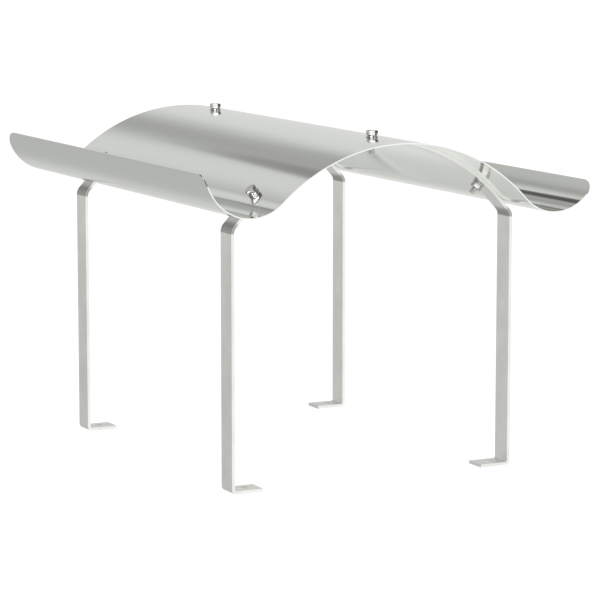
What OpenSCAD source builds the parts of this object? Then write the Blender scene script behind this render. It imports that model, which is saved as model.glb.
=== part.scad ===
// Wave-form chimney cap: one curved stainless sheet bolted on two flat-bar stirrups.
// Origin on the standing plane, midway between the four foot holes. +X runs across the
// flue, +Y along the cover, +Z up.

/* [Cover] */
// Thickness of the cover sheet
sheet_t = 1.5; // [0.8:0.1:3]
// Reach of the cover in front of the stirrup centre
cover_front = 313; // [255:1:400]
// Reach of the cover behind the stirrup centre
cover_rear = 324; // [255:1:400]
// Radius of both gutters, on the top face
gutter_r = 60.5; // [40:0.5:75]
// Angle of the crown down to the left gutter
left_arc = 42.8; // [42:0.1:48]
// Angle of the crown down to the right gutter
right_arc = 46.8; // [42:0.1:48]
// Angle that the left gutter turns up past its lowest line
left_lip = 84.5; // [50:0.5:90]
// Angle that the right gutter turns up past its lowest line
right_lip = 66; // [50:0.5:90]
// Radius of the four rounded corners of the sheet
corner_r = 22; // [8:1:28]

/* [Stirrups] */
// Distance across the legs, outer face to outer face
leg_spread = 400; // [385:1:460]
// Distance from the outer face of a leg in to where the arch ends and its shoulder begins
shoulder_in = 23.6; // [16:0.1:60]
// Distance from front stirrup to rear stirrup, centre to centre
stirrup_pitch = 454; // [300:1:480]
// Height of a leg up to its bend, from the standing plane
leg_top = 324.9; // [150:0.1:420]
// Width of the flat bar
bar_w = 30; // [25:1:40]
// Thickness of the flat bar
bar_t = 4; // [3:0.5:6]
// Inside radius of the bend between shoulder and leg
shoulder_r = 10; // [4:1:20]
// Inside radius of the bend between leg and foot
foot_bend_r = 2; // [1:0.5:8]
// Length of a foot, from the outer face of its leg
foot_len = 43; // [36:1:60]
// Diameter of the hole in a foot
foot_hole_d = 9; // [7:0.5:12]
// Distance of the foot hole from the outer face of its leg
foot_hole_in = 21.5; // [16:0.5:28]
// Gap between the arch and the sheet it carries
seat_gap = 0.05; // [0.02:0.01:0.3]

/* [Fasteners] */
// Angle of a flank bolt back from the end of the crown
flank_back = 1.1; // [1.1:0.1:15]
// Angle of a crown bolt to the right of the middle
crown_turn = 0.7; // [-3:0.1:3]
// Thread diameter of the bolts
bolt_d = 8; // [6:1:10]
// Length of a bolt under its head
bolt_len = 25; // [20:1:35]
// Hexagon across flats, bolt head and nut
hex_af = 13; // [11:1:17]
// Height of a bolt head
head_h = 5.3; // [4:0.1:7]
// Height of a nut
nut_h = 6.5; // [5:0.1:8]
// Outside diameter of a washer
washer_d = 15; // [14:0.5:15]
// Thickness of a washer
washer_t = 1.6; // [1:0.1:2]
// Outside diameter of a spring washer
spring_d = 12.7; // [12:0.1:14.8]
// Thickness of a spring washer
spring_t = 2; // [1.5:0.1:2.5]
// Width of the slit in a spring washer
spring_slit = 1; // [0.5:0.1:1.5]
// Clearance around a bolt in the sheet and the bar, on the diameter
hole_clear = 1; // [0.4:0.1:1.5]
// Clearance around a bolt in a washer, on the diameter
washer_clear = 0.4; // [0.2:0.1:0.8]
// Clearance between bolt and nut, on the diameter
thread_clear = 0.1; // [0.05:0.05:0.2]

/* [Hidden] */
$fn = 96;

// Stirrup: the arch carries the crown as far as the sheet follows it, and its radius is
// rounded to 0.05 mm
half_spread = leg_spread / 2;
arch_angle = max(left_arc, right_arc);
arch_outer = round(20 * (half_spread - shoulder_in) / sin(arch_angle)) / 20;
arch_inner = arch_outer - bar_t;
shoulder_outer = shoulder_r + bar_t;
shoulder_start_x = arch_outer * sin(arch_angle);
shoulder_run = (half_spread - shoulder_start_x) / cos(arch_angle);
shoulder_turn = 90 - arch_angle;
shoulder_tangent = shoulder_outer * tan(shoulder_turn / 2);
shoulder_start_z = leg_top + shoulder_tangent + (half_spread - shoulder_start_x) * tan(arch_angle);
arch_z = shoulder_start_z - arch_outer * cos(arch_angle);
foot_outer = foot_bend_r + bar_t;

// Cover: the crown on the arch, the centres of the two gutters, and the height of their lips
crown_r = arch_outer + seat_gap + sheet_t;
cover_len = cover_front + cover_rear;
left_gutter_x = -(crown_r + gutter_r) * sin(left_arc);
left_gutter_z = arch_z + (crown_r + gutter_r) * cos(left_arc);
right_gutter_x = (crown_r + gutter_r) * sin(right_arc);
right_gutter_z = arch_z + (crown_r + gutter_r) * cos(right_arc);
left_edge_x = left_gutter_x - gutter_r - sheet_t - 1;
left_lip_z = left_gutter_z - gutter_r * cos(left_lip);
right_lip_z = right_gutter_z - gutter_r * cos(right_lip);

// Fasteners: their stations along the cover and round the arch, and their distances
// from its axis
front = -stirrup_pitch / 2;
rear = stirrup_pitch / 2;
right = min(left_arc, right_arc) - flank_back;
crown = crown_turn;
left = -right;
hole_d = bolt_d + hole_clear;
nut_seat = sqrt(pow(arch_inner, 2) - pow(washer_d / 2, 2));
head_seat = crown_r + washer_t + spring_t;
chamfer_r = 0.47 * hex_af;
tip_chamfer = 0.8;

// The corner rounding crosses the sheet's end by this much, so that no faces meet tangent
corner_cross = 0.05;

// The straight shoulder runs this far into the bends at its ends and lies this far
// inside their faces, so that they fuse at any angle
lap = 0.2;
ledge = 0.005;

// A strip of sheet or bar bent about the axis of height, from one angle through another
module bend(inner, thick, wide, from, turn) {
    rotate_extrude(angle = turn, start = from)
        translate([inner, 0])
            square([thick, wide]);
}

// Moves by whole millimetres, then thousandths, then the rest, which keeps every decimal,
// so that bends that meet tangent meet exactly
module place(x, y) {
    whole = [floor(x), floor(y), 0];
    fine = [floor(1000 * x) / 1000, floor(1000 * y) / 1000, 0] - whole;
    translate(whole)
        translate(fine)
            translate([x, y, 0] - whole - fine)
                children();
}

// Stands a profile drawn in X and Y up into X and Z, with its back face at y_back
module stand_up(y_back) {
    translate([0, y_back, 0])
        rotate([90, 0, 0])
            children();
}

// Points +Z outwards from the axis of the arch, at one stirrup and one angle
module at_station(y, angle) {
    translate([0, y, arch_z])
        rotate([0, angle, 0])
            children();
}

module hexagon(high) {
    cylinder(h = high, r = hex_af / 2 / cos(30), $fn = 6);
}

// ---- Cover ----

module wave_profile() {
    place(0, arch_z)
        bend(crown_r - sheet_t, sheet_t, cover_len, 90 - right_arc, right_arc + left_arc);
    place(right_gutter_x, right_gutter_z)
        bend(gutter_r, sheet_t, cover_len, -90 - right_arc, right_arc + right_lip);
    place(left_gutter_x, left_gutter_z)
        bend(gutter_r, sheet_t, cover_len, -90 - left_lip, left_arc + left_lip);
}

// What comes off one lip at one end to round its corner; dir is -1 at the front, 1 at the rear
module lip_corner(x, y_end, z_lip, dir) {
    width = gutter_r + sheet_t + 1;
    inset = corner_r - corner_cross;
    translate([x, y_end - dir * inset, z_lip - inset])
        difference() {
            translate([0, min(0, dir * 2 * corner_r), 0])
                cube([width, 2 * corner_r, 2 * corner_r]);
            translate([-1, 0, 0])
                rotate([0, 90, 0])
                    cylinder(h = width + 2, r = corner_r);
        }
}

module wave_cover() {
    color("silver")
        difference() {
            stand_up(cover_rear) wave_profile();
            for (y = [front, rear])
                for (angle = [left, crown, right])
                    at_station(y, angle)
                        translate([0, 0, arch_outer - bar_t])
                            cylinder(h = 4 * bar_t, d = hole_d);
            lip_corner(right_gutter_x, cover_rear, right_lip_z, 1);
            lip_corner(right_gutter_x, -cover_front, right_lip_z, -1);
            lip_corner(left_edge_x, cover_rear, left_lip_z, 1);
            lip_corner(left_edge_x, -cover_front, left_lip_z, -1);
        }
}

// ---- Stirrups ----

// Shoulder, leg and foot on the right-hand side
module half_stirrup() {
    place(shoulder_start_x, shoulder_start_z)
        rotate([0, 0, -arch_angle])
            translate([-lap, ledge - bar_t, ledge])
                cube([
                    shoulder_run - shoulder_tangent + 2 * lap,
                    bar_t - 2 * ledge,
                    bar_w - 2 * ledge
                ]);
    translate([half_spread - shoulder_outer, leg_top, 0])
        bend(shoulder_r, bar_t, bar_w, 0, shoulder_turn);
    translate([half_spread - bar_t, foot_outer, 0])
        cube([bar_t, leg_top - foot_outer, bar_w]);
    translate([half_spread - foot_outer, foot_outer, 0])
        bend(foot_bend_r, bar_t, bar_w, -90, 90);
    translate([half_spread - foot_len, 0, 0])
        cube([foot_len - foot_outer, bar_t, bar_w]);
}

module stirrup(y) {
    color("gainsboro")
        difference() {
            stand_up(y + bar_w / 2) {
                place(0, arch_z)
                    bend(arch_inner, bar_t, bar_w, 90 - arch_angle, 2 * arch_angle);
                half_stirrup();
                mirror([1, 0, 0]) half_stirrup();
            }
            for (angle = [left, crown, right])
                at_station(y, angle)
                    translate([0, 0, arch_inner - bar_t])
                        cylinder(h = 3 * bar_t, d = hole_d);
            for (side = [-1, 1])
                translate([side * (half_spread - foot_hole_in), y, -bar_t])
                    cylinder(h = 3 * bar_t, d = foot_hole_d);
        }
}

module front_stirrup() { stirrup(front); }
module rear_stirrup() { stirrup(rear); }

// ---- Fasteners ----

module bolt(y, angle) {
    color("lightgray")
        at_station(y, angle)
            translate([0, 0, head_seat]) {
                intersection() {
                    hexagon(head_h);
                    cylinder(h = head_h, r1 = chamfer_r + head_h / tan(30), r2 = chamfer_r);
                }
                translate([0, 0, -bolt_len + tip_chamfer])
                    cylinder(h = bolt_len - tip_chamfer, d = bolt_d);
                translate([0, 0, -bolt_len])
                    cylinder(h = tip_chamfer, d1 = bolt_d - 2 * tip_chamfer, d2 = bolt_d);
            }
}

module washer(y, angle, seat) {
    color("lightgray")
        at_station(y, angle)
            translate([0, 0, seat])
                difference() {
                    cylinder(h = washer_t, d = washer_d);
                    translate([0, 0, -washer_t])
                        cylinder(h = 3 * washer_t, d = bolt_d + washer_clear);
                }
}

module head_washer(y, angle) { washer(y, angle, crown_r); }
module nut_washer(y, angle) { washer(y, angle, nut_seat - washer_t); }

// A split ring between a head and its flat washer, cut at a slant as lock washers are
module spring_washer(y, angle) {
    color("lightgray")
        at_station(y, angle)
            translate([0, 0, crown_r + washer_t])
                difference() {
                    cylinder(h = spring_t, d = spring_d);
                    translate([0, 0, -spring_t])
                        cylinder(h = 3 * spring_t, d = bolt_d + washer_clear);
                    translate([spring_d / 2, 0, spring_t / 2])
                        rotate([25, 0, 0])
                            cube([spring_d, spring_slit, 4 * spring_t], center = true);
                }
}

module nut(y, angle) {
    color("lightgray")
        at_station(y, angle)
            translate([0, 0, nut_seat - washer_t - nut_h])
                difference() {
                    intersection() {
                        hexagon(nut_h);
                        cylinder(h = nut_h, r1 = chamfer_r, r2 = chamfer_r + nut_h / tan(30));
                    }
                    translate([0, 0, -nut_h])
                        cylinder(h = 3 * nut_h, d = bolt_d + thread_clear);
                }
}

module front_left_bolt() { bolt(front, left); }
module front_left_spring_washer() { spring_washer(front, left); }
module front_left_head_washer() { head_washer(front, left); }
module front_left_nut_washer() { nut_washer(front, left); }
module front_left_nut() { nut(front, left); }
module front_crown_bolt() { bolt(front, crown); }
module front_crown_spring_washer() { spring_washer(front, crown); }
module front_crown_head_washer() { head_washer(front, crown); }
module front_crown_nut_washer() { nut_washer(front, crown); }
module front_crown_nut() { nut(front, crown); }
module front_right_bolt() { bolt(front, right); }
module front_right_spring_washer() { spring_washer(front, right); }
module front_right_head_washer() { head_washer(front, right); }
module front_right_nut_washer() { nut_washer(front, right); }
module front_right_nut() { nut(front, right); }
module rear_left_bolt() { bolt(rear, left); }
module rear_left_spring_washer() { spring_washer(rear, left); }
module rear_left_head_washer() { head_washer(rear, left); }
module rear_left_nut_washer() { nut_washer(rear, left); }
module rear_left_nut() { nut(rear, left); }
module rear_crown_bolt() { bolt(rear, crown); }
module rear_crown_spring_washer() { spring_washer(rear, crown); }
module rear_crown_head_washer() { head_washer(rear, crown); }
module rear_crown_nut_washer() { nut_washer(rear, crown); }
module rear_crown_nut() { nut(rear, crown); }
module rear_right_bolt() { bolt(rear, right); }
module rear_right_spring_washer() { spring_washer(rear, right); }
module rear_right_head_washer() { head_washer(rear, right); }
module rear_right_nut_washer() { nut_washer(rear, right); }
module rear_right_nut() { nut(rear, right); }

wave_cover();
front_stirrup();
rear_stirrup();
front_left_bolt();
front_left_spring_washer();
front_left_head_washer();
front_left_nut_washer();
front_left_nut();
front_crown_bolt();
front_crown_spring_washer();
front_crown_head_washer();
front_crown_nut_washer();
front_crown_nut();
front_right_bolt();
front_right_spring_washer();
front_right_head_washer();
front_right_nut_washer();
front_right_nut();
rear_left_bolt();
rear_left_spring_washer();
rear_left_head_washer();
rear_left_nut_washer();
rear_left_nut();
rear_crown_bolt();
rear_crown_spring_washer();
rear_crown_head_washer();
rear_crown_nut_washer();
rear_crown_nut();
rear_right_bolt();
rear_right_spring_washer();
rear_right_head_washer();
rear_right_nut_washer();
rear_right_nut();
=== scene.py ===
import math
import bpy
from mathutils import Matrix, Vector
from mathutils.geometry import delaunay_2d_cdt


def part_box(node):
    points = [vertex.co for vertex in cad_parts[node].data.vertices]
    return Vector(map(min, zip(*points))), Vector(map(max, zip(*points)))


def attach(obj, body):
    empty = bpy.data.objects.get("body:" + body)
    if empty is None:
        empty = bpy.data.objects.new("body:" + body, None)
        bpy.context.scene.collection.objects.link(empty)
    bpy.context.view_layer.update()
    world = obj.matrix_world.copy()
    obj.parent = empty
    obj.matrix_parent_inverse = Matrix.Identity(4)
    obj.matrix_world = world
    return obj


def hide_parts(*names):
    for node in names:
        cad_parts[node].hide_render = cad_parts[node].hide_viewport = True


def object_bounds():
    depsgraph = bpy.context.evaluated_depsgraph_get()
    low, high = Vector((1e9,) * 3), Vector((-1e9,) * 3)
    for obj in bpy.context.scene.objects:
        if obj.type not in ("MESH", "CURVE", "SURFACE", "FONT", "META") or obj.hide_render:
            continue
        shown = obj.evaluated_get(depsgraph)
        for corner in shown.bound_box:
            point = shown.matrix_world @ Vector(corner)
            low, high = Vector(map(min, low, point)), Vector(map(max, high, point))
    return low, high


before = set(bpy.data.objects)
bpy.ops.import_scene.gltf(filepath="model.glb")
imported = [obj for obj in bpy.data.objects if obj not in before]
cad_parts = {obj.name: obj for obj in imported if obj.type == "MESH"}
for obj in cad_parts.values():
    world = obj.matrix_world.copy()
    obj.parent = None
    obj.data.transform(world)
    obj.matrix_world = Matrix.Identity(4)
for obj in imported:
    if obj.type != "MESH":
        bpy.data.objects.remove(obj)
cad_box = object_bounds()

# ---- Camera and studio ----
# A long lens looks along the cap from its left front corner, a little from above. The floor
# and the sky are a white studio, and what the steel mirrors is a soft grey surround.

bearing = math.radians(27.2037)
tilt = math.radians(8.6404)
camera = bpy.data.cameras.new("camera")
camera.lens = 171.83
camera.sensor_width = 36
camera.clip_end = 60
camera_stand = bpy.data.objects.new("camera", camera)
camera_stand.location = (-1.7081, -3.3594, 0.7699)
camera_stand.rotation_euler = (math.pi / 2 - tilt, 0, -bearing)
bpy.context.scene.collection.objects.link(camera_stand)
bpy.context.scene.camera = camera_stand
bpy.context.scene.view_settings.view_transform = "Standard"


class Number:
    """A number that a node gives; sums on it add Math nodes to the same tree."""

    def __init__(self, wiring, socket):
        self.wiring = wiring
        self.socket = socket

    def math(self, operation, *others):
        inputs = dict(enumerate((self,) + others))
        return self.wiring.node("ShaderNodeMath", {"operation": operation}, inputs)

    def __add__(self, other):
        return self.math("ADD", other)

    def __radd__(self, other):
        return self.math("ADD", other)

    def __sub__(self, other):
        return self.math("SUBTRACT", other)

    def __rsub__(self, other):
        return self.math("MULTIPLY_ADD", -1, other)

    def __mul__(self, other):
        return self.math("MULTIPLY", other)

    def __rmul__(self, other):
        return self.math("MULTIPLY", other)

    def __truediv__(self, other):
        return self.math("DIVIDE", other)

    def rise(self, low, high):
        """0 below low, 1 above high, and an even slope that eases at both ends between."""
        settings = {"interpolation_type": "SMOOTHSTEP"}
        return self.wiring.node(
            "ShaderNodeMapRange", settings, {"Value": self, "From Min": low, "From Max": high}
        )


class Wiring:
    """The nodes of one tree, added with their settings first and then their sockets."""

    def __init__(self, tree):
        self.tree = tree

    def node(self, kind, settings=None, inputs=None, output=0):
        node = self.tree.nodes.new(kind)
        for name, value in (settings or {}).items():
            setattr(node, name, value)
        for name, value in (inputs or {}).items():
            if isinstance(value, Number):
                self.tree.links.new(value.socket, node.inputs[name])
            else:
                node.inputs[name].default_value = value
        if not node.outputs:
            return node
        return Number(self, node.outputs[output])


# What the steel mirrors is a studio: a grey wall on the left and a pale one on the right, over
# a floor that is paler to the right. Levels say how bright a part is. Angles are in degrees:
# heading turns to the right from straight back along the cap, and rising is above the horizon.
sky = bpy.data.worlds.new("studio")
sky.use_nodes = True
sky.node_tree.nodes.clear()
bpy.context.scene.world = sky
w = Wiring(sky.node_tree)
look = w.node("ShaderNodeTexCoord", output="Generated")
across = w.node("ShaderNodeSeparateXYZ", inputs={0: look}, output="X")
along = w.node("ShaderNodeSeparateXYZ", inputs={0: look}, output="Y")
height = w.node("ShaderNodeSeparateXYZ", inputs={0: look}, output="Z")
heading = across.math("ARCTAN2", along) * (180 / math.pi)
rising = height.math("ARCSINE") * (180 / math.pi)


def blend(one, other, share):
    """Goes from one level to the other as share goes from 0 to 1."""
    return one + share * (other - one)


grey_wall = 0.56
pale_wall = 0.75
grey_foot = 0.60
floor_left = 0.55
floor_middle = 0.68
outer_sides = 0.80
wall_end_shade = 0.14
panel_shade = 0.32
foot_glow = 0.12
wall_top_shade = 0.24

# Each wall has one soft dark band: where the grey one ends, and on a panel of the pale one
floor_low = blend(floor_left, floor_middle, heading.rise(-8, 12))
floor_low = blend(floor_low, outer_sides, heading.rise(13, 24))
wall_foot = blend(grey_foot, pale_wall, heading.rise(-20, 24))
wall_high = blend(grey_wall, pale_wall, heading.rise(-10, 1))
wall_high = wall_high - wall_end_shade * heading.rise(-21, -10) * heading.rise(1, -10)
wall_high = wall_high - panel_shade * heading.rise(4, 13.5) * heading.rise(24, 14)
surround = blend(floor_low, wall_foot, rising.rise(-8, -1))
surround = blend(surround, wall_high, rising.rise(9, 19))
surround = blend(surround, outer_sides, heading.rise(-20, -60))
surround = surround + foot_glow * rising.rise(-9, -5) * rising.rise(1, -3)
surround = surround - wall_top_shade * heading.rise(15, 20) * rising.rise(19.5, 25)

# A dark corner starts near the top of the walls and opens upwards
corner_heading = 9
corner_foot = 23.5
left_spread = 0.6
right_spread = 0.16
corner_start_depth = 0.45
corner_more_depth = 0.40
above = rising - corner_foot
corner_left = heading - (corner_heading - left_spread * above)
corner_right = heading - (corner_heading + right_spread * above)
corner = corner_left.rise(-0.9, 0.4) * corner_right.rise(2.8, 0.2)
corner_depth = corner_start_depth * rising.rise(23.9, 25.2)
corner_depth = corner_depth + corner_more_depth * rising.rise(26, 32)
surround = surround * (1 - corner * corner_depth)

# Grey sides with one dark upright strip each, a darker front that holds two lit strips, and
# a soft grey ceiling that is darker over the two ends
side_foot_level = 0.50
side_top_level = 0.64
strip_shade = 0.8
front_shade = 0.5
camera_strip = 1.3
ahead_strip = 0.95
strip_heading = 153
front_floor_glow = 0.3
ceiling_level = 0.68
far_end_shade = 0.6
near_end_shade = 0.5
heading_off = heading.math("ABSOLUTE")
above_floor = rising.rise(-12, -8)
below_top = rising.rise(22, 12)
side_level = blend(side_foot_level, side_top_level, rising.rise(15, 50))
surround = blend(surround, side_level, heading_off.rise(40, 58) * above_floor)
dark_strips = (heading_off - 88).math("ABSOLUTE").rise(20, 10) * below_top
surround = surround * (1 - strip_shade * dark_strips * above_floor)
dark_front = heading_off.rise(112, 125) * above_floor * below_top
surround = surround * (1 - front_shade * dark_front)
beside_camera = (heading + strip_heading).math("ABSOLUTE").rise(16, 10)
ahead_of_cap = (heading - strip_heading).math("ABSOLUTE").rise(20, 11)
lit_strips = camera_strip * beside_camera + ahead_strip * ahead_of_cap
surround = surround + lit_strips * above_floor * rising.rise(30, 24)
surround = surround + front_floor_glow * along.rise(0.1, -0.3) * rising.rise(-9, -13)
far_end = (heading - 12).math("ABSOLUTE").rise(36, 24) * rising.rise(74, 62)
near_end = (heading - 148).math("ABSOLUTE").rise(52, 42)
ceiling_light = ceiling_level - far_end_shade * far_end
ceiling_light = ceiling_light - near_end_shade * near_end * rising.rise(78, 68)
ceiling = rising.rise(33.5, 37) + near_end * rising.rise(26, 30) * rising.rise(37, 33.5)
surround = blend(surround, ceiling_light, ceiling)
mirrored = w.node(
    "ShaderNodeBackground", inputs={"Color": (0.985, 1.0, 0.975, 1), "Strength": surround}
)
white = w.node("ShaderNodeBackground", inputs={"Color": (1, 1, 1, 1), "Strength": 1.05})
seen = w.node("ShaderNodeLightPath", output="Is Camera Ray")
studio = w.node("ShaderNodeMixShader", inputs={0: seen, 1: mirrored, 2: white})
w.node("ShaderNodeOutputWorld", inputs={"Surface": studio})

floor_reach = 8
floor_mesh = bpy.data.meshes.new("studio_floor")
floor_signs = [(-1, -1), (1, -1), (1, 1), (-1, 1)]
floor_corners = [(x * floor_reach, y * floor_reach, cad_box[0][2]) for x, y in floor_signs]
floor_mesh.from_pydata(floor_corners, [], [(0, 1, 2, 3)])
studio_floor = bpy.data.objects.new("studio_floor", floor_mesh)
bpy.context.scene.collection.objects.link(studio_floor)
studio_floor.visible_glossy = False
floor_paint = bpy.data.materials.new("floor_paint")
floor_paint.use_nodes = True
floor_paint.node_tree.nodes.clear()
w = Wiring(floor_paint.node_tree)
floor_skin = w.node(
    "ShaderNodeBsdfPrincipled",
    inputs={
        "Base Color": (0.12, 0.12, 0.12, 1),
        "Roughness": 0.9,
        "Emission Color": (1, 1, 1, 1),
        "Emission Strength": 0.98,
    },
)
clear = w.node("ShaderNodeBsdfTransparent")
from_below = w.node("ShaderNodeNewGeometry", output="Backfacing")
one_way = w.node("ShaderNodeMixShader", inputs={0: from_below, 1: floor_skin, 2: clear})
w.node("ShaderNodeOutputMaterial", inputs={"Surface": one_way})
floor_mesh.materials.append(floor_paint)

lamp = bpy.data.lights.new("softbox", "AREA")
lamp.shape = "RECTANGLE"
lamp.size = 1.4
lamp.size_y = 1.0
lamp.energy = 40
lamp_stand = bpy.data.objects.new("softbox", lamp)
lamp_stand.location = (-1.3, -1.6, 2.0)
lamp_aim = Vector((0, 0, 0.2)) - lamp_stand.location
lamp_stand.rotation_euler = lamp_aim.to_track_quat("-Z", "Y").to_euler()
bpy.context.scene.collection.objects.link(lamp_stand)

# ---- Stirrups ----
# Two lengths of 30 x 4 mm stainless flat bar, punched flat and then bent over a brake: an
# arch that carries the cover, a short straight shoulder, a leg and a turned-in foot.

stirrup_low, stirrup_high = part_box("front_stirrup")
bar_width = stirrup_high[1] - stirrup_low[1]
half_spread = stirrup_high[0]
bar_thickness = 0.004
arch_radius = 0.242
arch_turn = math.radians(46.8)
shoulder_radius = 0.014
shoulder_turn = math.pi / 2 - arch_turn
foot_radius = 0.006
foot_length = 0.043
foot_hole_in = 0.0215
flank_turn = math.radians(41.7)
crown_turn = math.radians(0.7)
station_turns = (-flank_turn, crown_turn, flank_turn)
bolt_hole = 0.0045
foot_hole = 0.0045
bar_edge = 0.0005
bar_corner = 0.001

shoulder_start = arch_radius * math.sin(arch_turn)
shoulder_tangent = shoulder_radius * math.tan(shoulder_turn / 2)
shoulder_flat = (half_spread - shoulder_start) / math.cos(arch_turn) - shoulder_tangent
leg_top = (
    stirrup_high[2]
    - arch_radius * (1 - math.cos(arch_turn))
    - (half_spread - shoulder_start) * math.tan(arch_turn)
    - shoulder_tangent
)


def cut_blank(name, cut_line, columns, rows, holes):
    """A flat sheet in X and Y, cut and punched, with edges along its columns and rows.

    cut_line is the outline and the test for a point inside it; holes are (x, y, radius).
    """
    outline, inside = cut_line
    points = []
    edges = []
    hole_sides = 40
    whole_faces = 3
    join_within = 1e-7
    just_inside = 0.995

    def line(ends, closed=False):
        first = len(points)
        points.extend(Vector(p) for p in ends)
        edges.extend((first + i, first + i + 1) for i in range(len(ends) - 1))
        if closed:
            edges.append((first + len(ends) - 1, first))

    for x in columns:
        line([(x, rows[0]), (x, rows[-1])])
    for y in rows:
        line([(columns[0], y), (columns[-1], y)])
    for x, y, radius in holes:
        steps = [2 * math.pi * i / hole_sides for i in range(hole_sides)]
        line([(x + radius * math.cos(s), y + radius * math.sin(s)) for s in steps], closed=True)
    line(outline, closed=True)
    corners, _, faces = delaunay_2d_cdt(points, edges, [], whole_faces, join_within)[:3]
    kept = []
    for face in faces:
        middle = sum((corners[i] for i in face), Vector((0, 0))) / len(face)
        punched = any(
            (middle - Vector((x, y))).length < radius * just_inside for x, y, radius in holes
        )
        if inside(*middle) and not punched:
            kept.append(face)
    mesh = bpy.data.meshes.new(name)
    mesh.from_pydata([(p.x, p.y, 0) for p in corners], [], kept)
    mesh.validate()
    flat = mesh.uv_layers.new(name="flat")
    for loop, corner in zip(mesh.loops, flat.data):
        corner.uv = mesh.vertices[loop.vertex_index].co.xy
    for face in mesh.polygons:
        face.use_smooth = True
    blank = bpy.data.objects.new(name, mesh)
    bpy.context.scene.collection.objects.link(blank)
    return blank


def rounded_outline(x0, x1, y0, y1, radius):
    """A rectangle with rounded corners, and the test for a point inside it."""
    outline = []
    arc_steps = 12
    just_inside = 0.9999
    corners = [(x1, y1, 0), (x0, y1, 90), (x0, y0, 180), (x1, y0, 270)]
    for x, y, start in corners:
        cx = x - math.copysign(radius, x - (x0 + x1) / 2)
        cy = y - math.copysign(radius, y - (y0 + y1) / 2)
        for step in range(arc_steps + 1):
            turn = math.radians(start + 90 * step / arc_steps)
            outline.append((cx + radius * math.cos(turn), cy + radius * math.sin(turn)))

    def inside(x, y):
        dx = max(x0 + radius - x, x - x1 + radius, 0)
        dy = max(y0 + radius - y, y - y1 + radius, 0)
        return math.hypot(dx, dy) < radius * just_inside

    return outline, inside


def spaced(start, end, step):
    """Even steps from start to end, no longer than step, without the end itself."""
    count = max(1, math.ceil(abs(end - start) / step - 1e-9))
    return [start + (end - start) * i / count for i in range(count)]


def brake_group():
    """One bend of a brake: turns all that lies past a line, on one side of the middle."""
    group = bpy.data.node_groups.new("brake", "GeometryNodeTree")
    group.interface.new_socket("Blank", in_out="INPUT", socket_type="NodeSocketGeometry")
    for name in ("Side", "Starts at", "Length", "Turn"):
        group.interface.new_socket(name, in_out="INPUT", socket_type="NodeSocketFloat")
    group.interface.new_socket("Bent", in_out="OUTPUT", socket_type="NodeSocketGeometry")
    g = Wiring(group)
    given = group.nodes.new("NodeGroupInput")
    blank, side, start, length, turn = [Number(g, s) for s in given.outputs[:5]]
    place = g.node("GeometryNodeInputPosition")
    x = g.node("ShaderNodeSeparateXYZ", inputs={0: place}, output="X")
    y = g.node("ShaderNodeSeparateXYZ", inputs={0: place}, output="Y")
    z = g.node("ShaderNodeSeparateXYZ", inputs={0: place}, output="Z")
    flat = g.node("GeometryNodeInputNamedAttribute", {"data_type": "FLOAT"}, {"Name": "along"})
    done = g.node("ShaderNodeClamp", inputs={"Value": (flat * side - start) / length})
    angle = turn * done
    radius = length / turn
    past = x * side - start - length * done
    sine = angle.math("SINE")
    cosine = angle.math("COSINE")
    new_x = start + radius * sine + past * cosine + z * sine
    new_z = z * cosine - past * sine - radius * (1 - cosine)
    bent = g.node("ShaderNodeCombineXYZ", inputs={"X": new_x * side, "Y": y, "Z": new_z})
    out = g.node("GeometryNodeSetPosition", inputs={"Geometry": blank, "Position": bent})
    end = group.nodes.new("NodeGroupOutput")
    group.links.new(out.socket, end.inputs[0])
    return group


brake = brake_group()


def form(blank, bends, place, metal):
    """Bends a flat blank, outermost bend first, and lifts it to its place.

    bends are (name, side, starts at, length, turn).
    """
    tree = bpy.data.node_groups.new(blank.name + "_forming", "GeometryNodeTree")
    tree.interface.new_socket("Blank", in_out="INPUT", socket_type="NodeSocketGeometry")
    inputs = {}
    for name, side, start, length, turn in bends:
        for size in ("starts at", "length", "turn"):
            title = name + " " + size
            inputs[title] = tree.interface.new_socket(
                title, in_out="INPUT", socket_type="NodeSocketFloat"
            )
    inputs["Place"] = tree.interface.new_socket(
        "Place", in_out="INPUT", socket_type="NodeSocketVector"
    )
    inputs["Metal"] = tree.interface.new_socket(
        "Metal", in_out="INPUT", socket_type="NodeSocketMaterial"
    )
    tree.interface.new_socket("Formed", in_out="OUTPUT", socket_type="NodeSocketGeometry")
    g = Wiring(tree)
    given = g.tree.nodes.new("NodeGroupInput")
    socket = {s.name: Number(g, s) for s in given.outputs}
    place_now = g.node("GeometryNodeInputPosition")
    along = g.node("ShaderNodeSeparateXYZ", inputs={0: place_now}, output="X")
    shape = g.node(
        "GeometryNodeStoreNamedAttribute",
        {"data_type": "FLOAT", "domain": "POINT"},
        {"Geometry": socket["Blank"], "Name": "along", "Value": along},
    )
    for name, side, start, length, turn in bends:
        shape = g.node(
            "GeometryNodeGroup",
            {"node_tree": brake},
            {
                "Blank": shape,
                "Side": side,
                "Starts at": socket[name + " starts at"],
                "Length": socket[name + " length"],
                "Turn": socket[name + " turn"],
            },
        )
    shape = g.node(
        "GeometryNodeSetPosition", inputs={"Geometry": shape, "Offset": socket["Place"]}
    )
    shape = g.node("GeometryNodeRealizeInstances", inputs={"Geometry": shape})
    shape = g.node(
        "GeometryNodeSetMaterial", inputs={"Geometry": shape, "Material": socket["Metal"]}
    )
    end = tree.nodes.new("NodeGroupOutput")
    tree.links.new(shape.socket, end.inputs[0])
    forming = blank.modifiers.new("forming", "NODES")
    forming.node_group = tree
    for name, side, start, length, turn in bends:
        forming[inputs[name + " starts at"].identifier] = start
        forming[inputs[name + " length"].identifier] = length
        forming[inputs[name + " turn"].identifier] = turn
    forming[inputs["Place"].identifier] = place
    forming[inputs["Metal"].identifier] = metal


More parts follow.
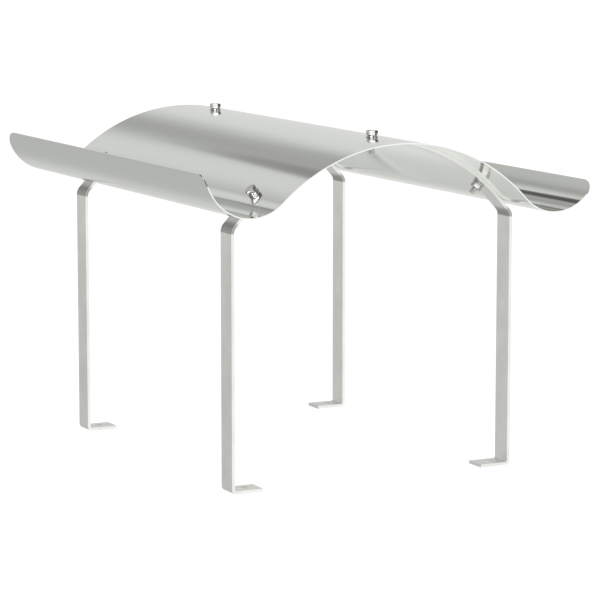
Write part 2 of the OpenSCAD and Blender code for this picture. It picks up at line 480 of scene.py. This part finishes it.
def thicken(piece, thickness, edge):
    """Gives a formed sheet its thickness, on its inner side, and breaks its cut edges."""
    wall = piece.modifiers.new("thickness", "SOLIDIFY")
    wall.thickness = thickness
    wall.offset = -1
    wall.use_even_offset = True
    broken = piece.modifiers.new("broken_edges", "BEVEL")
    broken.width = edge
    broken.segments = 2
    broken.limit_method = "ANGLE"
    broken.angle_limit = math.radians(50)
    smooth = piece.modifiers.new("smooth", "WEIGHTED_NORMAL")
    smooth.weight = 100
    smooth.keep_sharp = True


def settle(piece):
    """Turns a piece's modifiers into a plain mesh."""
    built = piece.evaluated_get(bpy.context.evaluated_depsgraph_get())
    mesh = bpy.data.meshes.new_from_object(built)
    mesh.name = piece.name
    rough = piece.data
    piece.modifiers.clear()
    piece.data = mesh
    bpy.data.meshes.remove(rough)
    return piece


arch_length = arch_radius * arch_turn
bend_length = shoulder_radius * shoulder_turn
leg_length = leg_top - foot_radius
bend_start = arch_length + shoulder_flat
foot_start = bend_start + bend_length + leg_length
foot_turn = math.pi / 2
foot_arc = foot_radius * foot_turn
bar_end = foot_start + foot_arc + foot_length - foot_radius

bar_steel = bpy.data.materials.new("bar_steel")
bar_steel.use_nodes = True
bar_steel.node_tree.nodes.clear()
w = Wiring(bar_steel.node_tree)
flat_place = w.node("ShaderNodeUVMap", {"uv_map": "flat"})
object_place = w.node("ShaderNodeTexCoord", output="Object")
drawn = w.node("ShaderNodeMapping", inputs={"Vector": flat_place, "Scale": (6, 900, 1)})
grain = w.node("ShaderNodeTexNoise", inputs={"Vector": drawn, "Scale": 1.0, "Detail": 4.0})
mottle = w.node("ShaderNodeTexNoise", inputs={"Vector": object_place, "Scale": 28.0, "Detail": 5.0})
tone = w.node(
    "ShaderNodeMix",
    {"data_type": "RGBA"},
    {0: mottle.rise(0.3, 0.7), 6: (0.80, 0.80, 0.785, 1), 7: (0.87, 0.87, 0.855, 1)},
    output=2,
)
from_middle = w.node("ShaderNodeSeparateXYZ", inputs={0: flat_place}, output="X").math("ABSOLUTE")
# Darker along each shoulder bend: the bar's colour is multiplied down in a band that runs from a
# little before the bend to its end
band_lead = 0.009
band_fade = 0.0008
bend_end = bend_start + bend_length
bend_band = from_middle.rise(bend_start - band_lead, bend_start)
bend_band = bend_band * from_middle.rise(bend_end + band_fade, bend_end)
bend_band_tone = w.node(
    "ShaderNodeMix",
    {"data_type": "RGBA", "blend_type": "MULTIPLY"},
    {0: bend_band * (0.75 + 0.25 * grain), 6: tone, 7: (0.42, 0.42, 0.41, 1)},
    output=2,
)
relief = w.node(
    "ShaderNodeBump", inputs={"Strength": 0.12, "Distance": 0.0002, "Height": grain + 0.5 * mottle}
)
steel = w.node(
    "ShaderNodeBsdfPrincipled",
    inputs={
        "Base Color": bend_band_tone,
        "Metallic": 1.0,
        "Roughness": 0.22 + 0.12 * grain,
        "Normal": relief,
    },
)
w.node("ShaderNodeOutputMaterial", inputs={"Surface": steel})

arch_step = 0.003
shoulder_flat_step = 0.01
shoulder_step = 0.0008
leg_step = 0.02
foot_bend_step = 0.0006
foot_step = 0.008
beside_hole = 0.005
half_columns = spaced(0, arch_length, arch_step)
half_columns += spaced(arch_length, bend_start, shoulder_flat_step)
half_columns += spaced(bend_start, bend_end, shoulder_step)
half_columns += spaced(bend_end, foot_start, leg_step)
half_columns += spaced(foot_start, foot_start + foot_arc, foot_bend_step)
half_columns += spaced(foot_start + foot_arc, bar_end, foot_step) + [bar_end]
bar_columns = sorted({round(side * x, 7) for x in half_columns for side in (-1, 1)})
bar_rows = [-bar_width / 2, -beside_hole, beside_hole, bar_width / 2]
foot_along = bar_end - (foot_length - foot_hole_in)
bar_holes = [(arch_radius * turn, 0, bolt_hole) for turn in station_turns]
bar_holes += [(x, 0, foot_hole) for x in (-foot_along, foot_along)]
bar_cut = rounded_outline(-bar_end, bar_end, -bar_width / 2, bar_width / 2, bar_corner)


def middle_line(stirrup_name):
    """How far back the middle of a stirrup's bar stands."""
    low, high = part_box(stirrup_name)
    return (low[1] + high[1]) / 2


for stirrup_name in ("front_stirrup", "rear_stirrup"):
    bar_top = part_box(stirrup_name)[1][2]
    bar = cut_blank(stirrup_name + "_bar", bar_cut, bar_columns, bar_rows, bar_holes)
    bar_bends = []
    for name, side in (("Right", 1), ("Left", -1)):
        bar_bends.append((name + " foot", side, foot_start, foot_arc, foot_turn))
        bar_bends.append((name + " shoulder", side, bend_start, bend_length, shoulder_turn))
        bar_bends.append((name + " arch", side, 0, arch_length, arch_turn))
    form(bar, bar_bends, (0, middle_line(stirrup_name), bar_top), bar_steel)
    thicken(bar, bar_thickness, bar_edge)
    settle(bar)
    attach(bar, "root")
    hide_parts(stirrup_name)

# ---- Cover ----
# One sheet of 1.5 mm stainless steel, its corners rounded and its six holes punched flat,
# then rolled: the crown one way and a gutter the other way along each side.

cover_low, cover_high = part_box("wave_cover")
sheet_thickness = 0.0015
crown_radius = 0.24355
left_crown_turn = math.radians(42.8)
right_crown_turn = math.radians(46.8)
gutter_radius = 0.0605
left_gutter_turn = left_crown_turn + math.radians(84.5)
right_gutter_turn = right_crown_turn + math.radians(66)
corner_radius = 0.022
sheet_edge = 0.00025

left_crown = crown_radius * left_crown_turn
right_crown = crown_radius * right_crown_turn
left_gutter = gutter_radius * left_gutter_turn
right_gutter = gutter_radius * right_gutter_turn
left_end = -left_crown - left_gutter
right_end = right_crown + right_gutter
front_end = cover_low[1]
rear_end = cover_high[1]

gutter_step = 0.0009
crown_step = 0.002
cover_columns = spaced(left_end, -left_crown, gutter_step)
cover_columns += spaced(-left_crown, 0, crown_step)
cover_columns += spaced(0, right_crown, crown_step)
cover_columns += spaced(right_crown, right_end, gutter_step) + [right_end]
front_line = middle_line("front_stirrup")
rear_line = middle_line("rear_stirrup")
past_hole = 0.006
plain_reach = 0.2
plain_step = 0.04
corner_rows = (0, 0.002, 0.01, corner_radius)
cover_rows = [front_end + row for row in corner_rows]
cover_rows += [front_line - past_hole, front_line + past_hole]
cover_rows += spaced(-plain_reach, plain_reach, plain_step) + [plain_reach]
cover_rows += [rear_line - past_hole, rear_line + past_hole]
cover_rows += [rear_end - row for row in reversed(corner_rows)]
cover_holes = [
    (crown_radius * turn, line, bolt_hole)
    for line in (front_line, rear_line)
    for turn in station_turns
]
cover_cut = rounded_outline(left_end, right_end, front_end, rear_end, corner_radius)

sheet_steel = bpy.data.materials.new("sheet_steel")
sheet_steel.use_nodes = True
sheet_steel.node_tree.nodes.clear()
w = Wiring(sheet_steel.node_tree)
flat_place = w.node("ShaderNodeUVMap", {"uv_map": "flat"})
rolled = w.node("ShaderNodeMapping", inputs={"Vector": flat_place, "Scale": (1400, 5, 1)})
grain = w.node("ShaderNodeTexNoise", inputs={"Vector": rolled, "Scale": 1.0, "Detail": 3.0})
cloud = w.node("ShaderNodeTexNoise", inputs={"Vector": flat_place, "Scale": 9.0, "Detail": 2.0})
relief = w.node("ShaderNodeBump", inputs={"Strength": 0.04, "Distance": 0.0001, "Height": grain})
steel = w.node(
    "ShaderNodeBsdfPrincipled",
    inputs={
        "Base Color": (0.80, 0.805, 0.785, 1),
        "Metallic": 1.0,
        "Roughness": 0.07 + 0.04 * grain + 0.03 * cloud,
        "Normal": relief,
    },
)
w.node("ShaderNodeOutputMaterial", inputs={"Surface": steel})

cover = cut_blank("wave_cover_sheet", cover_cut, cover_columns, cover_rows, cover_holes)
cover_bends = [
    ("Right gutter", 1, right_crown, right_gutter, -right_gutter_turn),
    ("Right crown", 1, 0, right_crown, right_crown_turn),
    ("Left gutter", -1, left_crown, left_gutter, -left_gutter_turn),
    ("Left crown", -1, 0, left_crown, left_crown_turn),
]
form(cover, cover_bends, (0, 0, cover_high[2]), sheet_steel)
thicken(cover, sheet_thickness, sheet_edge)
settle(cover)
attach(cover, "root")
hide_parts("wave_cover")

# ---- Bolts, washers and nuts ----
# Six M8 x 25 hexagon bolts of bright stainless steel, threaded 13 mm up from the point and
# plain under the head. Under each head are a spring washer and a flat one, and a flat washer
# and a nut clamp the bar from below.

bolt_radius = 0.004
bolt_length = 0.025
thread_pitch = 0.00125
thread_depth = 0.00068
hexagon_flats = 0.013
hexagon_chamfer = 0.47 * hexagon_flats
head_height = 0.0053
nut_height = 0.0065
washer_radius = 0.0075
washer_thickness = 0.0016
spring_radius = 0.00635
spring_thickness = 0.002
spring_slit = 0.001
nut_clear = 0.00005
washer_clear = 0.0002
fastener_edge = 0.0002
arch_axis = cover_high[2] - crown_radius
spring_seat = crown_radius + washer_thickness
head_seat = spring_seat + spring_thickness
nut_seat = math.sqrt((arch_radius - bar_thickness) ** 2 - washer_radius**2)


def ring_body(name, rings, closed):
    """A body from rings of equally many points; closed joins the last ring to the first,
    and otherwise a ring of one point closes each end."""
    points = []
    starts = []
    for ring in rings:
        starts.append(len(points))
        points.extend(ring)
    faces = []
    pairs = list(zip(range(len(rings)), range(1, len(rings))))
    if closed:
        pairs.append((len(rings) - 1, 0))
    for one, other in pairs:
        count = max(len(rings[one]), len(rings[other]))
        for i in range(count):
            j = (i + 1) % count
            low = [starts[one] + (k if len(rings[one]) > 1 else 0) for k in (i, j)]
            high = [starts[other] + (k if len(rings[other]) > 1 else 0) for k in (j, i)]
            corners = low + high
            faces.append([v for n, v in enumerate(corners) if v not in corners[:n]])
    mesh = bpy.data.meshes.new(name)
    mesh.from_pydata(points, [], faces)
    mesh.validate()
    for face in mesh.polygons:
        face.use_smooth = True
    body = bpy.data.objects.new(name, mesh)
    bpy.context.scene.collection.objects.link(body)
    return body


def circle(radius, height, count, grow=None):
    """A ring of points at one height; grow changes the radius from point to point."""
    ring = []
    for i in range(count):
        turn = 2 * math.pi * i / count
        reach = radius if grow is None else radius + grow(turn, height)
        ring.append((reach * math.cos(turn), reach * math.sin(turn), height))
    return ring


def hexagon_reach(turn):
    """How far a hexagon reaches past its chamfer circle in one direction."""
    off_flat = (turn + math.pi / 6) % (math.pi / 3) - math.pi / 6
    return hexagon_flats / 2 / math.cos(off_flat) - hexagon_chamfer


def hexagon_ring(height, count, drop):
    """The ring of a hexagon's wall, drop metres lower per metre past the chamfer circle."""
    ring = []
    for i in range(count):
        turn = 2 * math.pi * i / count
        reach = hexagon_reach(turn)
        out = hexagon_chamfer + reach
        ring.append((out * math.cos(turn), out * math.sin(turn), height - drop * reach))
    return ring


def thread(turn, height):
    """The cut of the thread: a 60 degree vee with a flat crest."""
    half_vee = 0.44
    across_pitch = (height / thread_pitch - turn / (2 * math.pi)) % 1
    vee = max(0.0, 1 - abs(across_pitch - 0.5) / half_vee)
    return -thread_depth * vee


around = 72
chamfer_drop = math.tan(math.radians(30))
plain_shank_end = -0.012
plain_shank = bolt_radius - 0.0001
point_radius = bolt_radius - 0.0009
point_taper = 0.0008
thread_rows = spaced(-bolt_length + point_taper / 2, plain_shank_end, thread_pitch / 9)
bolt_rings = [[(0, 0, -bolt_length)]]
bolt_rings.append(circle(point_radius, -bolt_length, around))
for row in thread_rows:
    taper = max(0.0, point_taper - (row + bolt_length))
    bolt_rings.append(circle(bolt_radius - taper, row, around, thread))
bolt_rings.append(circle(plain_shank, plain_shank_end, around))
bolt_rings.append(circle(plain_shank, 0, around))
bolt_rings.append(circle(hexagon_chamfer * 0.96, 0, around))
bolt_rings.append(hexagon_ring(0.0001, around, 0))
bolt_rings.append(hexagon_ring(head_height, around, chamfer_drop))
bolt_rings.append(circle(hexagon_chamfer, head_height, around))
bolt_rings.append(circle(hexagon_chamfer - 0.0006, head_height, around))
bolt_rings.append([(0, 0, head_height)])
bolt_rings = [[(x, y, z + head_seat) for x, y, z in ring] for ring in bolt_rings]

bore = bolt_radius + nut_clear
mouth_radius = bore + 0.0005
mouth_depth = 0.0006
nut_rings = [
    circle(bore, mouth_depth, around),
    circle(mouth_radius, 0, around),
    circle(hexagon_chamfer, 0, around),
    hexagon_ring(0, around, -chamfer_drop),
    hexagon_ring(nut_height, around, chamfer_drop),
    circle(hexagon_chamfer, nut_height, around),
    circle(mouth_radius, nut_height, around),
    circle(bore, nut_height - mouth_depth, around),
]
nut_foot = nut_seat - washer_thickness - nut_height
nut_rings = [[(x, y, z + nut_foot) for x, y, z in ring] for ring in nut_rings]


def washer_rings(seat):
    """A stamped washer: its upper edge rolled over, its lower one with a small burr land."""
    hole = bolt_radius + washer_clear
    top = seat + washer_thickness
    return [
        circle(hole, seat, around),
        circle(washer_radius - 0.0001, seat, around),
        circle(washer_radius, seat + 0.0002, around),
        circle(washer_radius, top - 0.0005, around),
        circle(washer_radius - 0.0002, top - 0.00015, around),
        circle(washer_radius - 0.0006, top, around),
        circle(hole + 0.0003, top, around),
        circle(hole, top - 0.0003, around),
    ]


def spring_washer_rings():
    """A square wire bent round to a ring, with a slanted gap between its ends."""
    hole = bolt_radius + washer_clear
    low = spring_seat
    high = spring_seat + spring_thickness
    soft = 0.00025
    slit_slant = math.tan(math.radians(25))
    section = [
        (hole, low + soft), (hole, high - soft), (hole + soft, high),
        (spring_radius - soft, high), (spring_radius, high - soft),
        (spring_radius, low + soft), (spring_radius - soft, low), (hole + soft, low),
    ]
    middle = sum(r for r, z in section) / len(section)
    rings = []
    for i in range(around + 1):
        ring = []
        for reach, z in section:
            slant = (z - (low + high) / 2) * slit_slant
            half_gap = spring_slit / 2 / middle
            start = half_gap + slant / middle
            end = 2 * math.pi - half_gap + slant / middle
            turn = start + (end - start) * i / around
            ring.append((reach * math.cos(turn), reach * math.sin(turn), z))
        rings.append(ring)
    for ring, place in ((rings[0], 0), (rings[-1], len(rings) + 1)):
        centre = tuple(sum(point[k] for point in ring) / len(ring) for k in range(3))
        rings.insert(place, [centre])
    return rings


def stations_group():
    """Puts one fastener at all six bolt stations: three round the arch of each stirrup."""
    tree = bpy.data.node_groups.new("bolt_stations", "GeometryNodeTree")
    sockets = {}
    wanted = [("Fastener", "Geometry"), ("Stirrup spacing", "Float"), ("Axis height", "Float")]
    wanted += [("Flank turn", "Float"), ("Crown turn", "Float"), ("Head turn", "Float")]
    wanted += [("Slack", "Float"), ("Seed", "Int"), ("Metal", "Material")]
    for name, kind in wanted:
        sockets[name] = tree.interface.new_socket(
            name, in_out="INPUT", socket_type="NodeSocket" + kind
        )
    tree.interface.new_socket("Fasteners", in_out="OUTPUT", socket_type="NodeSocketGeometry")
    g = Wiring(tree)
    given = tree.nodes.new("NodeGroupInput")
    socket = {s.name: Number(g, s) for s in given.outputs}
    index = g.node("GeometryNodeInputIndex")
    row = (index / 3).math("FLOOR")
    step = index - 3 * row - 1
    side = step * socket["Flank turn"] + (1 - step.math("ABSOLUTE")) * socket["Crown turn"]
    y = (row - 0.5) * socket["Stirrup spacing"]
    place = g.node("ShaderNodeCombineXYZ", inputs={"Y": y, "Z": socket["Axis height"]})
    points = g.node("GeometryNodePoints", inputs={"Count": 6, "Position": place})
    lean = g.node("ShaderNodeCombineXYZ", inputs={"Y": side})
    put = g.node(
        "GeometryNodeInstanceOnPoints",
        inputs={"Points": points, "Instance": socket["Fastener"], "Rotation": lean},
    )
    loose = g.node(
        "FunctionNodeRandomValue",
        {"data_type": "FLOAT"},
        {2: -1 * socket["Slack"], 3: socket["Slack"], "Seed": socket["Seed"]},
        output=1,
    )
    spin = g.node("ShaderNodeCombineXYZ", inputs={"Z": socket["Head turn"] + loose})
    put = g.node("GeometryNodeRotateInstances", inputs={"Instances": put, "Rotation": spin})
    shape = g.node("GeometryNodeRealizeInstances", inputs={"Geometry": put})
    shape = g.node(
        "GeometryNodeSetMaterial", inputs={"Geometry": shape, "Material": socket["Metal"]}
    )
    end = tree.nodes.new("NodeGroupOutput")
    tree.links.new(shape.socket, end.inputs[0])
    return tree, sockets


stations, station_inputs = stations_group()

bolt_steel = bpy.data.materials.new("bolt_steel")
bolt_steel.use_nodes = True
bolt_steel.node_tree.nodes.clear()
w = Wiring(bolt_steel.node_tree)
place = w.node("ShaderNodeTexCoord", output="Object")
fine = w.node("ShaderNodeTexNoise", inputs={"Vector": place, "Scale": 900.0, "Detail": 3.0})
worn = w.node("ShaderNodeTexNoise", inputs={"Vector": place, "Scale": 240.0, "Detail": 2.0})
relief = w.node("ShaderNodeBump", inputs={"Strength": 0.05, "Distance": 0.00005, "Height": fine})
steel = w.node(
    "ShaderNodeBsdfPrincipled",
    inputs={
        "Base Color": (0.62, 0.62, 0.605, 1),
        "Metallic": 1.0,
        "Roughness": 0.07 + 0.06 * fine + 0.05 * worn,
        "Normal": relief,
    },
)
w.node("ShaderNodeOutputMaterial", inputs={"Surface": steel})

spacing = rear_line - front_line
head_turn = math.radians(2)
head_slack = math.radians(3)
stations_named = [
    end + "_" + side for end in ("front", "rear") for side in ("left", "crown", "right")
]
fastener_kinds = [
    ("bolts", "bolt", bolt_rings, False, 1),
    ("spring_washers", "spring_washer", spring_washer_rings(), False, 2),
    ("head_washers", "head_washer", washer_rings(crown_radius), True, 3),
    ("nut_washers", "nut_washer", washer_rings(nut_seat - washer_thickness), True, 4),
    ("nuts", "nut", nut_rings, True, 5),
]
for set_name, node_name, rings, closed, seed in fastener_kinds:
    fasteners = ring_body(set_name, rings, closed)
    set_out = fasteners.modifiers.new("stations", "NODES")
    set_out.node_group = stations
    set_out[station_inputs["Stirrup spacing"].identifier] = spacing
    set_out[station_inputs["Axis height"].identifier] = arch_axis
    set_out[station_inputs["Flank turn"].identifier] = flank_turn
    set_out[station_inputs["Crown turn"].identifier] = crown_turn
    set_out[station_inputs["Head turn"].identifier] = head_turn
    set_out[station_inputs["Slack"].identifier] = head_slack
    set_out[station_inputs["Seed"].identifier] = seed
    set_out[station_inputs["Metal"].identifier] = bolt_steel
    broken = fasteners.modifiers.new("broken_edges", "BEVEL")
    broken.width = fastener_edge
    broken.segments = 2
    broken.limit_method = "ANGLE"
    broken.angle_limit = math.radians(20)
    settle(fasteners)
    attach(fasteners, "root")
    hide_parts(*[station + "_" + node_name for station in stations_named])
